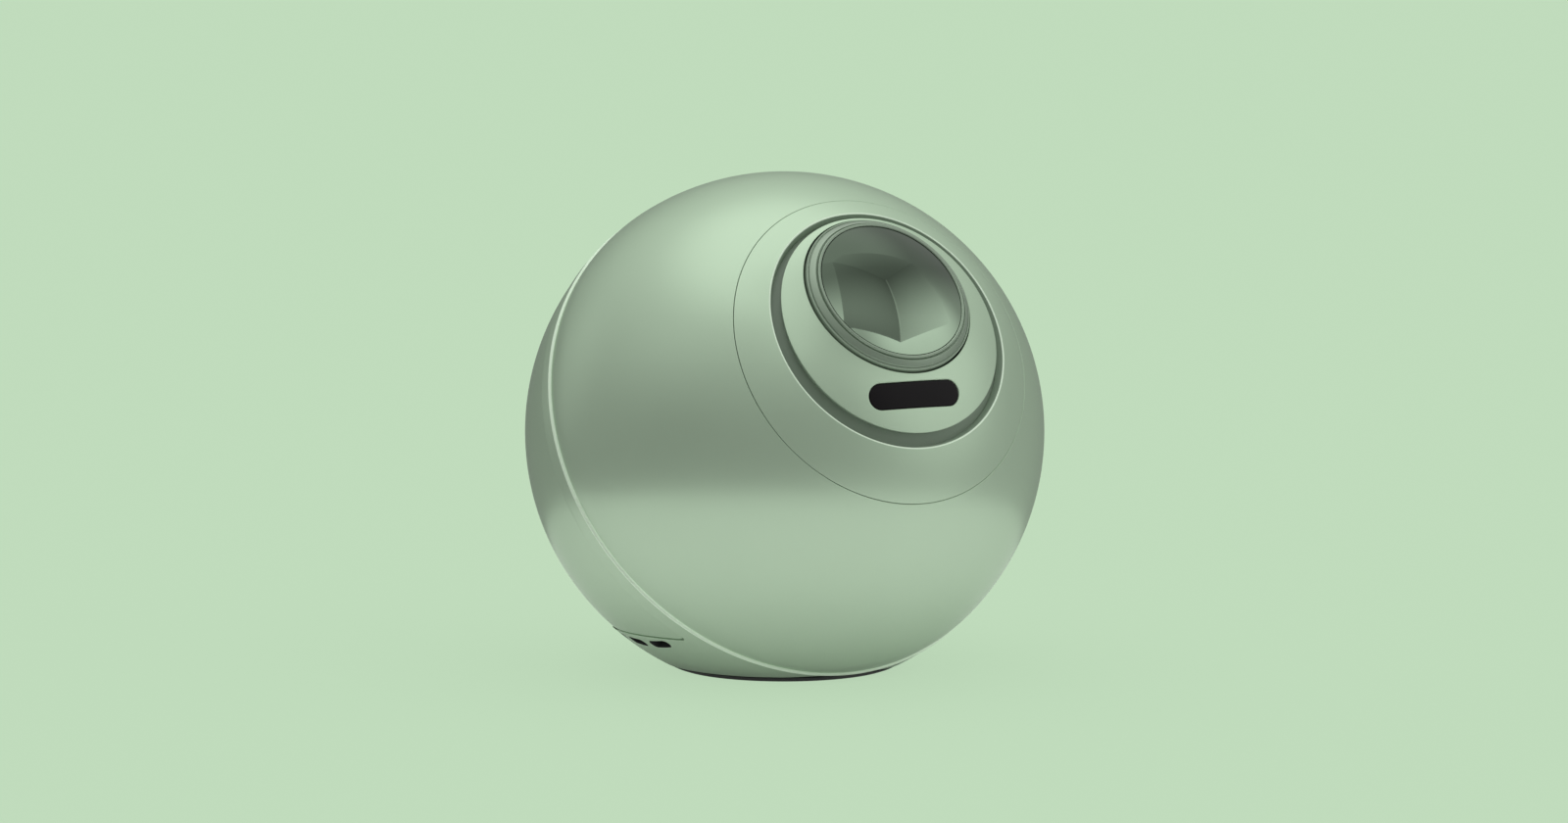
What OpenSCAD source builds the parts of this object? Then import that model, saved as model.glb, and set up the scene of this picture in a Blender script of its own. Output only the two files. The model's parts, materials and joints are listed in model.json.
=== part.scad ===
// Ball-shaped smart speaker with a projection lens.
// A sphere stands on a small flat foot. Its front half carries nested round
// trims, each on its own upward tilt: the trim ring, the face plate and the
// lens. The rear half carries a cover with a speaker grille, vents and buttons.

/* [Ball] */
// Radius of the outer ball, mm
ball_r = 75; // [75:0.5:77]
// Height of the ball's centre above the table, mm
centre_h = 68; // [68:0.5:69]
// Upward tilt of the seam between the two half shells, degrees
body_tilt = 28; // [28:0.5:29]
// Wall thickness of the front shell, trim ring and face plate, mm
wall = 2.6; // [2.4:0.1:2.6]

/* [Face] */
// Angular radius of the trim ring's outer edge, degrees
ring_angle = 38; // [38:0.5:39]
// Upward tilt of the groove's outer edge, degrees
rim_tilt = 31.3; // [31:0.1:31.5]
// Angular radius of the groove's outer edge, degrees
rim_angle = 29.1; // [29:0.1:29.5]
// Upward tilt of the face plate, degrees
face_tilt = 32; // [31.8:0.1:32.2]
// Angular radius of the face plate, degrees
face_angle = 26.7; // [26.5:0.1:26.9]
// Upward tilt of the lens, degrees
lens_tilt = 38; // [37.8:0.1:38]
// Radius of the lens bezel, mm
bezel_r = 25.1; // [24.9:0.1:25.1]
// Upward tilt of the sensor window, degrees
window_tilt = 13.5; // [13:0.5:14]
// Turn of the sensor window to the side, degrees
window_turn = -1; // [-1:0.5:0]
// Width of the sensor window, mm
window_w = 28.8; // [26:0.2:31]
// Height of the sensor window, mm
window_h = 7.2; // [6.8:0.2:8.4]

/* [Focus drive] */
// Teeth on the focus ring
ring_teeth = 62; // [62, 66]
// Teeth on the motor pinion
pinion_teeth = 12; // [12, 16]
// Gear module, mm
gear_module = 0.9; // [0.88:0.01:0.9]

/* [Rear] */
// Pitch of the holes in the speaker grille, mm
grille_pitch = 4; // [3.8:0.1:5]
// Radius of the holes in the speaker grille, mm
grille_hole_r = 1.05; // [0.8:0.05:1.2]
// Vent slots on each side
vent_count = 5; // [3:1:5]
// Spacing of the port openings, mm
port_pitch = 12; // [11.5:0.5:12]

/* [Hidden] */
$fn = 96;
big = 400;

// Colours
sage = "#B4CFB0";
sage_dark = "#7F927C";
graphite = "#2B2D2B";
steel = "#B8BCB8";
board_green = "#2F5D3A";
brass = "#C8A951";
glass = "#5E6B60";

// Clearances
gap = 0.15;          // between neighbouring outer parts
fit = 0.05;          // screws in their holes
touch = 0.05;        // faces that would otherwise coincide

// Radii of the shells, measured from the ball's centre
wall_in_r = ball_r - wall;
ledge_out_r = wall_in_r - 0.1;
ledge_in_r = ledge_out_r - 2.1;
band_r = ball_r - 0.15;
cover_out_r = ball_r - 0.4;
cover_in_r = ball_r - 2.3;
under_r = ball_r - 2.4;
rear_in_r = ball_r - 4.4;

// Edges of the round trims, as radii about their own axes
ring_r = ball_r * sin(ring_angle);
rim_r = ball_r * sin(rim_angle);
face_r = ball_r * sin(face_angle);
ledge_r = ring_r - 2.6;

// Foot
foot_h = 1.6;
shell_floor_z = foot_h + 0.05;
flange_h = 2.4;
foot_r = ball_r - 0.2;
foot_in_r = 25.3;
base_plate_r = 25;
base_screw_r = 21.5;

// Rear cover
band_w = 4.6;                 // width of the rear shell's band beside the seam
cover_low_tilt = -47.4;       // the cover ends here, above the ports
cover_low_z = centre_h + ball_r * sin(cover_low_tilt);
cover_low_lean = 2;           // this end rises towards the front, degrees
grille_r = 27;
vent_first = 130;             // degrees round from the front
vent_step = 4;
vent_w = 1.8;
vent_len = 25;

// Shell screws, in the seam's own frame
boss_circle_r = 66;
boss_angles = [20, 70, 110, 160, 200, 340];
boss_r = 3.6;
seam_screw_head_z = -14;
plate_t = 2.5;                // chassis plate
plate_back_z = -2.6;

// Lens, along its own axis from the ball's centre
bezel_gap = 0.5;             // round the bezel, in the face plate
bezel_low_z = 63.5;
bezel_rim_z = 71.3;          // outer rim, from which the bezel slopes up to its lip
bezel_top_z = 73.6;
bezel_step_z = 69.6;         // above this the bore narrows to the lip
bezel_lip_r = 21.55;
bezel_bore_r = 22.3;
barrel_low_z = 44;
barrel_r = 22;
barrel_bore_r = 19.6;
lens_r = 21.4;
lens_edge_z = 73.4;
lens_apex_z = 77.9;
lens_back_z = 68;
lens_hollow_z = 71.4;        // middle of the lens' hollow back
lens_hollow_r = 60;
housing_r = 24.6;
housing_low_z = 36;
housing_top_z = 63;
gear_low_z = 42.5;
gear_h = 5;
engine_front_z = 35.8;
engine_back_z = 4;

sensor_board_z = 66.3;

// Gear geometry
pressure_angle = 25;
addendum = 0.8;
dedendum = 1.05;
backlash = 0.06;              // taken from each flank, mm
ring_pitch_r = gear_module * ring_teeth / 2;
pinion_pitch_r = gear_module * pinion_teeth / 2;
pinion_offset = ring_pitch_r + pinion_pitch_r + 0.05;

// Speaker, along its own axis from the ball's centre
speaker_seat_z = 62.4;
speaker_flange_r = 29.3;
speaker_screw_r = 27.9;
chamber_r = 31.4;
coil_r = 8.2;

// Ports, along their own axis
port_turn = -92;
port_tilt = -50.5;
port_w = 9.2;
port_h = 3.3;

// Buttons, along their own axis
button_tilt = 38;
button_spacing = 13;
button_r = 4;
mic_x = button_spacing / 2;

// ---------------------------------------------------------------- frames

// Local +Z points out of the ball's centre, raised by tilt, and turned about
// the vertical by turn: 0 is the front (-Y) and 180 is the back.
module look(tilt, turn = 0)
    translate([0, 0, centre_h])
    rotate([0, 0, turn])
    rotate([90 - tilt, 0, 0])
    children();

// Radius of the foot's side at height z
function foot_edge(z) = sqrt(foot_r * foot_r - (centre_h - z) * (centre_h - z));

module ball(r) look(body_tilt) sphere(r = r);

module shell(r_out, r_in) difference() { ball(r_out); ball(r_in); }

// Everything in front of the seam plane, moved forward by z
module front_of(z) look(body_tilt) translate([-big / 2, -big / 2, z]) cube(big);

// Everything behind the seam plane, moved forward by z
module behind(z) look(body_tilt) translate([-big / 2, -big / 2, z - big]) cube(big);

module above(z) translate([-big / 2, -big / 2, z]) cube(big);

module below(z) translate([-big / 2, -big / 2, z - big]) cube(big);

// Leans a level about the ball's centre, to rise towards the front
module leaning()
    translate([0, 0, centre_h]) rotate([-cover_low_lean, 0, 0]) translate([0, 0, -centre_h]) children();

// Round plug along a line out of the ball's centre
module plug(tilt, r, turn = 0) look(tilt, turn) cylinder(r = r, h = big / 2);

module tube(r_out, r_in, low, high)
    difference() {
        translate([0, 0, low]) cylinder(r = r_out, h = high - low);
        translate([0, 0, low - 1]) cylinder(r = r_in, h = high - low + 2);
    }

// Flat bar with round ends, w long along X and h wide, standing on z = low
module pill(w, h, low, high)
    union() {
        translate([-(w - h) / 2, -h / 2, low]) cube([w - h, h, high - low]);
        for (side = [-1, 1])
            translate([side * (w - h) / 2, 0, low]) cylinder(d = h, h = high - low);
    }

module block(size, low)
    translate([-size[0] / 2, -size[1] / 2, low]) cube(size);

// Pan-head screw: head below z = 0, shank up to length
module screw(head_r, head_h, shank_r, length) {
    difference() {
        translate([0, 0, -head_h]) cylinder(r = head_r, h = head_h);
        for (turn = [0, 90])
            rotate([0, 0, turn])
            translate([-head_r * 0.6, -0.25, -head_h - 1]) cube([head_r * 1.2, 0.5, 1 + head_h * 0.5]);
    }
    cylinder(r = shank_r, h = length);
}

// ---------------------------------------------------------------- gears

function involute(angle) = tan(angle) * 180 / PI - angle;

// Half a tooth's angle at radius r
function tooth_half(teeth, r) =
    let (pitch_r = gear_module * teeth / 2, base_r = pitch_r * cos(pressure_angle))
    90 / teeth - backlash / pitch_r * 180 / PI + involute(pressure_angle)
        - involute(acos(min(1, base_r / max(r, base_r))));

function tooth_radii(teeth) =
    let (pitch_r = gear_module * teeth / 2,
         root_r = pitch_r - dedendum * gear_module,
         tip_r = pitch_r + addendum * gear_module)
    [root_r, pitch_r - gear_module * 0.4, pitch_r, pitch_r + gear_module * 0.4, tip_r];

function polar(r, angle) = [r * cos(angle), r * sin(angle)];

module gear(teeth, low, height)
    translate([0, 0, low])
    linear_extrude(height)
    polygon([
        for (tooth = [0 : teeth - 1])
            let (middle = tooth * 360 / teeth, radii = tooth_radii(teeth), last = len(radii) - 1)
            each concat(
                [for (i = [0 : last]) polar(radii[i], middle - tooth_half(teeth, radii[i]))],
                [for (i = [last : -1 : 0]) polar(radii[i], middle + tooth_half(teeth, radii[i]))])
    ]);

// ---------------------------------------------------------------- front trims

module front_shell() color(sage)
    difference() {
        union() {
            intersection() {
                shell(ball_r, wall_in_r);
                front_of(gap);
            }
            intersection() {
                shell(wall_in_r + 0.2, ledge_in_r);
                look(body_tilt) tube(ring_r + 2, ledge_r, 20, 80);
            }
            intersection() {
                ball(wall_in_r + 0.4);
                for (angle = boss_angles)
                    look(body_tilt) rotate([0, 0, angle]) {
                        translate([boss_circle_r, 0, 0]) cylinder(r = boss_r, h = 10);
                        translate([boss_circle_r, -2, 0]) cube([10, 4, 10]);
                    }
                front_of(0);
            }
        }
        // the trim ring's seat, and the opening through the ledge
        difference() {
            plug(body_tilt, ring_r);
            ball(wall_in_r - touch);
        }
        for (angle = boss_angles)
            look(body_tilt) rotate([0, 0, angle])
            translate([boss_circle_r, 0, -1]) cylinder(r = 1.25 + fit, h = 9.5);
    }

module trim_ring() color(sage)
    difference() {
        intersection() {
            shell(ball_r, wall_in_r);
            plug(body_tilt, ring_r - gap);
        }
        plug(rim_tilt, rim_r);
    }

module face_plate() color(sage)
    union() {
        difference() {
            intersection() {
                shell(ball_r, wall_in_r);
                plug(face_tilt, face_r);
            }
            plug(lens_tilt, bezel_r + bezel_gap);
            look(window_tilt, window_turn) pill(window_w + 2 * gap, window_h + 2 * gap, 60, 90);
        }
        // posts for the sensor board, beside the window
        intersection() {
            ball(wall_in_r + 0.3);
            look(window_tilt, window_turn)
                for (side = [-1, 1])
                    translate([side * (window_w / 2 + 1.6), 0.5, sensor_board_z + 1.15])
                    cylinder(r = 1, h = 8);
        }
    }

module light_ring() color(sage_dark)
    union() {
        difference() {
            intersection() {
                shell(ledge_out_r, ledge_in_r);
                plug(body_tilt, ledge_r - gap);
            }
            plug(face_tilt, face_r - 3);
            plug(lens_tilt, bezel_r + 0.6);
        }
        intersection() {
            ball(ledge_in_r + 0.3);
            look(rim_tilt)
                for (angle = [45, 135, 225, 315])
                    rotate([0, 0, angle])
                    translate([36.8, 0, 56.25]) cylinder(r = 1.4, h = 8);
        }
    }

module light_board() color(board_green)
    look(rim_tilt) {
        tube(39.5, 34, 55, 56.2);
        for (i = [0 : 11])
            rotate([0, 0, i * 30])
            translate([36.7, 0, 0]) block([2, 2, 1], 56.2);
    }

module sensor_window() color(graphite)
    intersection() {
        shell(ball_r - 0.25, ball_r - 2);
        look(window_tilt, window_turn) pill(window_w, window_h, 60, 90);
    }

module sensor_board() color(board_green)
    look(window_tilt, window_turn) {
        difference() {
            translate([-window_w / 2 - 3, -3.6, sensor_board_z]) cube([window_w + 6, 6, 1.1]);
            translate([-4, 1.2, sensor_board_z - 1]) cube([8, 3, 4]);
        }
        for (x = [-7, 0])
            translate([x, -1, sensor_board_z + 1.1]) cylinder(r = 2, h = 3);
        translate([5, -3, sensor_board_z + 1.1]) cube([5, 4, 2]);
    }

// ---------------------------------------------------------------- lens

module lens_bezel() color(sage)
    look(lens_tilt)
    rotate_extrude()
    polygon([
        [bezel_bore_r, bezel_low_z], [bezel_r, bezel_low_z],
        [bezel_r, bezel_rim_z - 0.1], [bezel_r - 0.15, bezel_rim_z], [bezel_r - 0.4, bezel_rim_z],
        [bezel_r - 0.5, bezel_rim_z + 0.25], [bezel_lip_r + 1.2, bezel_top_z - 0.6],
        [bezel_lip_r + 1.1, bezel_top_z - 0.9], [bezel_lip_r + 0.85, bezel_top_z - 0.2],
        [bezel_lip_r + 0.5, bezel_top_z], [bezel_lip_r, bezel_top_z - 0.2],
        [bezel_lip_r, bezel_step_z], [bezel_bore_r, bezel_step_z]
    ]);

module front_lens() color(glass)
    look(lens_tilt)
    let (rise = lens_apex_z - lens_edge_z,
         dome_r = (lens_r * lens_r + rise * rise) / (2 * rise))
    intersection() {
        translate([0, 0, lens_back_z]) cylinder(r = lens_r, h = 20);
        difference() {
            translate([0, 0, lens_apex_z - dome_r]) sphere(r = dome_r);
            translate([0, 0, lens_hollow_z - lens_hollow_r]) sphere(r = lens_hollow_r);
        }
    }

module focus_barrel() color(graphite)
    look(lens_tilt) tube(barrel_r, barrel_bore_r, barrel_low_z, lens_back_z - touch);

module inner_lens() color(glass)
    look(lens_tilt)
    intersection() {
        translate([0, 0, 52]) cylinder(r = barrel_bore_r - fit, h = 8);
        translate([0, 0, 56 - 42]) sphere(r = 45, $fn = 240);
        translate([0, 0, 56 + 42]) sphere(r = 45, $fn = 240);
    }

module lens_housing() color(graphite)
    look(lens_tilt)
    difference() {
        union() {
            translate([0, 0, housing_low_z]) cylinder(r = housing_r, h = housing_top_z - housing_low_z);
            translate([0, 0, 39.5]) cylinder(r = 27, h = 2.6);
            translate([-8, -pinion_offset - 6.5, 39.5]) cube([16, 18, 1.6]);
        }
        translate([0, 0, 39]) cylinder(r = barrel_r + 0.08, h = 40);
        translate([0, 0, 30]) cylinder(r = 13, h = 20);
        translate([0, -pinion_offset, 30]) cylinder(r = 1, h = 20);
    }

module focus_ring() color(steel)
    look(lens_tilt)
    difference() {
        gear(ring_teeth, gear_low_z, gear_h);
        translate([0, 0, 30]) cylinder(r = housing_r + 0.1, h = 30);
    }

module focus_motor() color(steel)
    look(lens_tilt)
    translate([0, -pinion_offset, 0])
    difference() {
        union() {
            translate([0, 0, 22]) cylinder(r = 6, h = 17.4);
            translate([0, 0, 20.5]) cylinder(r = 2, h = 2);
        }
        translate([0, 0, 24]) cylinder(r = 0.85, h = 20);
    }

module motor_pinion() color(brass)
    look(lens_tilt)
    translate([0, -pinion_offset, 0]) {
        gear(pinion_teeth, gear_low_z - 0.4, gear_h + 0.8);
        translate([0, 0, 25]) cylinder(r = 0.8, h = 24.5);
    }

// ---------------------------------------------------------------- light engine

module engine_housing() color(graphite)
    look(lens_tilt)
    difference() {
        translate([-25, -19, engine_back_z]) cube([50, 36, engine_front_z - engine_back_z]);
        translate([-23, -17, engine_back_z + 2]) cube([46, 40, engine_front_z - engine_back_z - 4]);
        translate([0, 0, 20]) cylinder(r = 12.5, h = 30);
    }

module engine_cover() color(graphite)
    look(lens_tilt)
    difference() {
        translate([-25, 17 + touch, engine_back_z]) cube([50, 1.5, engine_front_z - engine_back_z]);
        for (x = [-24, 24], z = [engine_back_z + 1, engine_front_z - 1])
            translate([x, 16, z]) rotate([-90, 0, 0]) cylinder(r = 0.6, h = 4);
    }

module engine_prism() color(glass)
    look(lens_tilt)
    translate([0, 8, 0])
    rotate([90, 0, 0])
    linear_extrude(16)
    polygon([[-9, 13], [9, 13], [9, 31]]);

module imager_board() color(board_green)
    look(lens_tilt) {
        block([30, 26, 1.4], engine_back_z + 2 + touch);
        block([15, 11, 2], engine_back_z + 3.4 + touch);
    }

module led_board() color(board_green)
    look(lens_tilt) {
        translate([-23 + touch, -10, 11]) cube([1.4, 20, 20]);
        translate([-21.6 + touch, -3, 18]) cube([1.2, 6, 6]);
    }

module condenser_lens() color(glass)
    look(lens_tilt)
    translate([-15, 0, 21])
    rotate([0, 90, 0])
    intersection() {
        translate([0, 0, -3.5]) cylinder(r = 7, h = 7);
        translate([0, 0, -9]) sphere(r = 12);
        translate([0, 0, 9]) sphere(r = 12);
    }

module heat_sink() color(steel)
    look(lens_tilt) {
        fin_top = engine_back_z - touch - 3;
        block([44, 36, 3], fin_top);
        for (i = [0 : 10])
            translate([-20 + i * 4, 0, 0]) block([1, 36, 21], fin_top - 21);
    }

module fan_frame() color(graphite)
    look(lens_tilt)
    translate([0, 0, -31.5]) {
        difference() {
            block([40, 40, 10], 0);
            translate([0, 0, -1]) cylinder(r = 18.6, h = 12);
            for (x = [-16.5, 16.5], y = [-16.5, 16.5])
                translate([x, y, -1]) cylinder(r = 1.6, h = 12);
        }
        cylinder(r = 8.5, h = 1.2);
        for (turn = [0, 90, 180, 270])
            rotate([0, 0, turn + 20]) translate([7, -1, 0]) cube([12.2, 2, 1.2]);
        cylinder(r = 1, h = 8);
    }

module fan_rotor() color(graphite)
    look(lens_tilt)
    translate([0, 0, -31.5])
    difference() {
        union() {
            translate([0, 0, 1.6]) cylinder(r = 8, h = 7.6);
            intersection() {
                tube(18, 7, 1.6, 9.2);
                for (i = [0 : 6])
                    rotate([0, 0, i * 360 / 7])
                    translate([0, 0, 5.4])
                    rotate([42, 0, 0])
                    translate([6, -0.55, -6]) cube([14, 1.1, 12]);
            }
        }
        translate([0, 0, 1]) cylinder(r = 1.05, h = 7.4);
    }

module bracket(side)
    look(body_tilt)
    difference() {
        union() {
            translate([side > 0 ? 25.1 : -27.1, -8, 0]) cube([2, 16, 16]);
            translate([side > 0 ? 25.1 : -38.1, -8, 0]) cube([13, 16, 1.8]);
        }
        for (y = [-4.5, 4.5]) {
            translate([side * 33, y, -1]) cylinder(r = 1.3, h = 4);
            translate([side * 24, y, 11]) rotate([0, side * 90, 0]) cylinder(r = 1.3, h = 5);
        }
    }

module bracket_left() color(steel) bracket(-1);

module bracket_right() color(steel) bracket(1);

module engine_screws() color(steel)
    look(body_tilt)
    for (side = [-1, 1], y = [-4.5, 4.5])
        translate([side * 33, y, 1.85]) rotate([180, 0, 0]) screw(2.1, 1.3, 1.2, 3.8);

// ---------------------------------------------------------------- chassis

module chassis_plate() color(steel)
    look(body_tilt)
    difference() {
        translate([0, 0, plate_back_z]) cylinder(r = rear_in_r - 0.4, h = plate_t);
        translate([-27.5, -25, -10]) cube([55, 48, 20]);
        translate([0, 0, -10]) for (side = [-1, 1])
            translate([side * 50, 0, 0]) cylinder(r = 8, h = 20);
        translate([0, -44, 0]) pill(50, 18, -10, 10);
        for (angle = boss_angles)
            rotate([0, 0, angle]) translate([boss_circle_r, 0, -10]) cylinder(r = 1.5, h = 20);
        for (side = [-1, 1], y = [-4.5, 4.5])
            translate([side * 33, y, -10]) cylinder(r = 1.25, h = 20);
        for (x = [-30, 30], y = [30, 52])
            translate([x, y, -10]) cylinder(r = 1.25, h = 20);
    }

module board_standoffs() color(brass)
    look(body_tilt)
    for (x = [-30, 30], y = [30, 52])
        translate([x, y, 0]) tube(2.4, 1.15, plate_back_z - touch - 5.2, plate_back_z - touch);

module main_board() color(board_green)
    look(body_tilt)
    difference() {
        union() {
            translate([-34, 26, -9.5]) cube([68, 30, 1.6]);
            translate([-12, 50, -11.5]) cube([24, 4, 2]);
            for (x = [-26, 20])
                translate([x, 34, -13.5]) cylinder(r = 2.5, h = 4);
            translate([-32, 36, -12]) cube([5, 12, 2.5]);
        }
        for (x = [-30, 30], y = [30, 52])
            translate([x, y, -10]) cylinder(r = 1.2, h = 3);
    }

module board_shield() color(steel)
    look(body_tilt)
    difference() {
        translate([-14, 29, -12.2]) cube([28, 18, 2.7 - touch]);
        translate([-13.6, 29.4, -11.8]) cube([27.2, 17.2, 5]);
    }

module board_screws() color(steel)
    look(body_tilt)
    for (x = [-30, 30], y = [30, 52])
        translate([x, y, -9.5 - touch]) screw(2, 1.2, 1.05, 5);

module wifi_antenna() color(brass)
    look(body_tilt)
    translate([-9, 60, plate_back_z - touch - 0.6]) cube([18, 7, 0.6]);

// ---------------------------------------------------------------- battery

module battery_cells() color("#3E7FB0")
    translate([-29.5, 0, centre_h - 51.5])
    for (y = [-9.7, 9.7])
        translate([0, y, 0]) rotate([0, 90, 0]) {
            cylinder(r = 9.2, h = 64);
            translate([0, 0, 64]) cylinder(r = 3, h = 1);
        }

module battery_cradle() color(graphite)
    difference() {
        translate([-19, -18, shell_floor_z + flange_h + touch]) cube([40, 36, 6]);
        for (y = [-9.7, 9.7])
            translate([-50, y, centre_h - 51.5]) rotate([0, 90, 0]) cylinder(r = 9.25, h = 100);
    }

// ---------------------------------------------------------------- rear shells

// Vent slots through the sides of the rear half
module vents()
    for (side = [-1, 1], i = [0 : vent_count - 1])
        look(0, side * (vent_first + i * vent_step))
        rotate([0, 0, 90]) pill(vent_len, vent_w, 60, 90);

module mic_holes()
    for (x = [-mic_x, mic_x])
        look(button_tilt, 180) translate([x, 0, 60]) cylinder(r = 0.6, h = 30);

module ports()
    look(port_tilt, port_turn)
    for (i = [-1 : 1])
        translate([i * port_pitch, 0, 0]) pill(port_w, port_h, 60, 90);

module rear_shell() color(sage)
    difference() {
        union() {
            intersection() {
                shell(under_r, rear_in_r);
                behind(-gap);
            }
            // proud band beside the seam
            intersection() {
                shell(band_r, under_r - 0.2);
                behind(-gap);
                front_of(-band_w);
            }
            // proud floor below the cover, with the ports
            intersection() {
                shell(band_r, under_r - 0.2);
                behind(-gap);
                leaning() below(cover_low_z - gap);
            }
            // flat floor round the base opening
            intersection() {
                ball(under_r);
                behind(-gap);
                translate([0, 0, shell_floor_z]) cylinder(r = 40, h = flange_h);
            }
            // screw wells
            intersection() {
                ball(under_r - 0.2);
                look(body_tilt)
                    for (angle = boss_angles)
                        rotate([0, 0, angle]) {
                            translate([boss_circle_r, 0, -40]) cylinder(r = boss_r, h = 40 - 2.65);
                            translate([boss_circle_r, -2, -40]) cube([10, 4, 40 - 2.65]);
                        }
            }
            // speaker seat
            intersection() {
                ball(under_r - 0.2);
                look(0, 180) translate([0, 0, speaker_seat_z]) cylinder(r = 33, h = 20);
            }
            // button board posts
            intersection() {
                ball(under_r - 0.2);
                look(button_tilt, 180)
                    for (x = [-mic_x, mic_x], y = [-3.9, 3.9])
                        translate([x, y, 65.25]) cylinder(r = 1.4, h = 20);
            }
        }
        below(shell_floor_z);
        translate([0, 0, -1]) cylinder(r = base_screw_r - 4, h = 20);
        for (angle = [45 : 90 : 315])
            rotate([0, 0, angle]) translate([base_screw_r, 0, -1]) cylinder(r = 1.05, h = 20);
        plug(0, 26.5, 180);
        for (angle = [45 : 90 : 315])
            look(0, 180) rotate([0, 0, angle])
            translate([speaker_screw_r, 0, 55]) cylinder(r = 1.05, h = 12);
        look(body_tilt)
            for (angle = boss_angles)
                rotate([0, 0, angle]) translate([boss_circle_r, 0, 0]) {
                    translate([0, 0, -20]) cylinder(r = 1.4, h = 30);
                    translate([0, 0, seam_screw_head_z - 60]) cylinder(r = 2.6, h = 60);
                }
        for (x = [-1 : 1])
            look(button_tilt, 180) translate([x * button_spacing, 0, 60]) cylinder(r = 2.3, h = 30);
        mic_holes();
        vents();
        ports();
    }

module rear_cover() color(sage)
    difference() {
        intersection() {
            shell(cover_out_r, cover_in_r);
            behind(-band_w - gap);
            leaning() above(cover_low_z);
        }
        plug(0, grille_r + gap, 180);
        for (x = [-1 : 1])
            look(button_tilt, 180) translate([x * button_spacing, 0, 60])
            cylinder(r = button_r + 0.2, h = 30);
        mic_holes();
        vents();
    }

module speaker_grille() color(graphite)
    difference() {
        intersection() {
            shell(cover_out_r, cover_in_r);
            plug(0, grille_r, 180);
        }
        for (i = [-8 : 8], j = [-8 : 8])
            let (x = (i + j / 2) * grille_pitch, y = j * grille_pitch * sin(60))
            if (norm([x, y]) < grille_r - 1.8)
                look(0, 180) translate([x, y, 60]) cylinder(r = grille_hole_r, h = 20, $fn = 24);
    }

module shell_screws() color(steel)
    look(body_tilt)
    for (angle = boss_angles)
        rotate([0, 0, angle])
        translate([boss_circle_r, 0, seam_screw_head_z - touch]) screw(2.4, 1.6, 1.25, 21);

// ---------------------------------------------------------------- speaker

module speaker_basket() color(graphite)
    look(0, 180)
    difference() {
        rotate_extrude()
        polygon([
            [10.2, 51.1], [19, 51.1], [25.6, 60.4], [speaker_flange_r, 60.4], [speaker_flange_r, 61.9],
            [24, 61.9], [24, 60.4], [18.2, 52.3], [10.2, 52.3]
        ]);
        for (turn = [0 : 60 : 300])
            rotate([0, 0, turn]) translate([20, 0, 56.5]) cube([14, 12, 5], center = true);
        for (angle = [45 : 90 : 315])
            rotate([0, 0, angle]) translate([speaker_screw_r, 0, 55]) cylinder(r = 1.05, h = 12);
    }

module speaker_magnet() color(steel)
    look(0, 180)
    difference() {
        translate([0, 0, 41.5]) cylinder(r = 16.5, h = 9.55);
        tube(9.5, 7.8, 43.2, 60);
    }

module speaker_cone() color(graphite)
    look(0, 180)
    rotate_extrude()
    polygon([
        [coil_r + 0.7, 54.6], [coil_r + 1.4, 54.6], [20.9, 61.3], [22.2, 61.3],
        [22.2, 61.9], [20.4, 61.9], [coil_r + 0.7, 55.2]
    ]);

module voice_coil() color(brass)
    look(0, 180) {
        tube(coil_r + 0.6, coil_r, 45.3, 55.2);
        tube(coil_r + 0.9, coil_r + 0.5, 46, 50);
    }

module dust_cap() color(graphite)
    look(0, 180)
    difference() {
        intersection() {
            translate([0, 0, 55.25]) cylinder(r = coil_r + 0.6, h = 10);
            translate([0, 0, 58 - 16]) sphere(r = 16);
        }
        translate([0, 0, 58 - 16]) sphere(r = 15.5);
    }

module speaker_surround() color(graphite)
    look(0, 180)
    rotate_extrude()
    union() {
        translate([20.9, 61.95]) square([1.3, 0.4]);
        translate([24.4, 61.95]) square([2, 0.4]);
        intersection() {
            translate([23.3, 62]) difference() {
                circle(r = 1.4);
                circle(r = 1);
            }
            translate([21, 61.95]) square([5, 4]);
        }
    }

module speaker_spider() color(brass)
    look(0, 180) tube(17.8, coil_r + 0.7, 52.4, 52.8);

module speaker_gasket() color(graphite)
    look(0, 180)
    difference() {
        tube(29.2, 26.6, 61.95, 62.35);
        for (angle = [45 : 90 : 315])
            rotate([0, 0, angle]) translate([speaker_screw_r, 0, 55]) cylinder(r = 1.1, h = 12);
    }

module speaker_chamber() color(graphite)
    look(0, 180)
    difference() {
        translate([0, 0, 39.5]) cylinder(r = chamber_r, h = speaker_seat_z - 39.5 - touch);
        translate([0, 0, 41.4]) cylinder(r = chamber_r - 1.6, h = 40);
    }

module speaker_screws() color(steel)
    look(0, 180)
    for (angle = [45 : 90 : 315])
        rotate([0, 0, angle]) translate([speaker_screw_r, 0, 60.35]) screw(1.6, 1, 1, 4.5);

// ---------------------------------------------------------------- buttons

// One button: a cap that follows the ball, and a stem down to its switch
module button(x)
    union() {
        intersection() {
            shell(ball_r - 0.05, ball_r - 1.5);
            look(button_tilt, 180) translate([x, 0, 60]) cylinder(r = button_r, h = 30);
        }
        intersection() {
            ball(ball_r - 1);
            look(button_tilt, 180) translate([x, 0, 67.3]) cylinder(r = 2, h = 20);
        }
    }

module power_button() color(sage) button(0);

module volume_up_button() color(sage) button(button_spacing);

module volume_down_button() color(sage) button(-button_spacing);

module button_board() color(board_green)
    look(button_tilt, 180) {
        block([34, 11, 1.2], 64);
        for (x = [-1 : 1])
            translate([x * button_spacing, 0, 0]) {
                block([5, 5, 0.9], 65.2);
                translate([0, 0, 66]) cylinder(r = 1.2, h = 0.6);
            }
        for (x = [-mic_x, mic_x])
            translate([x, 0, 0]) block([3, 2.6, 1], 65.2);
    }

// ---------------------------------------------------------------- ports

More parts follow.
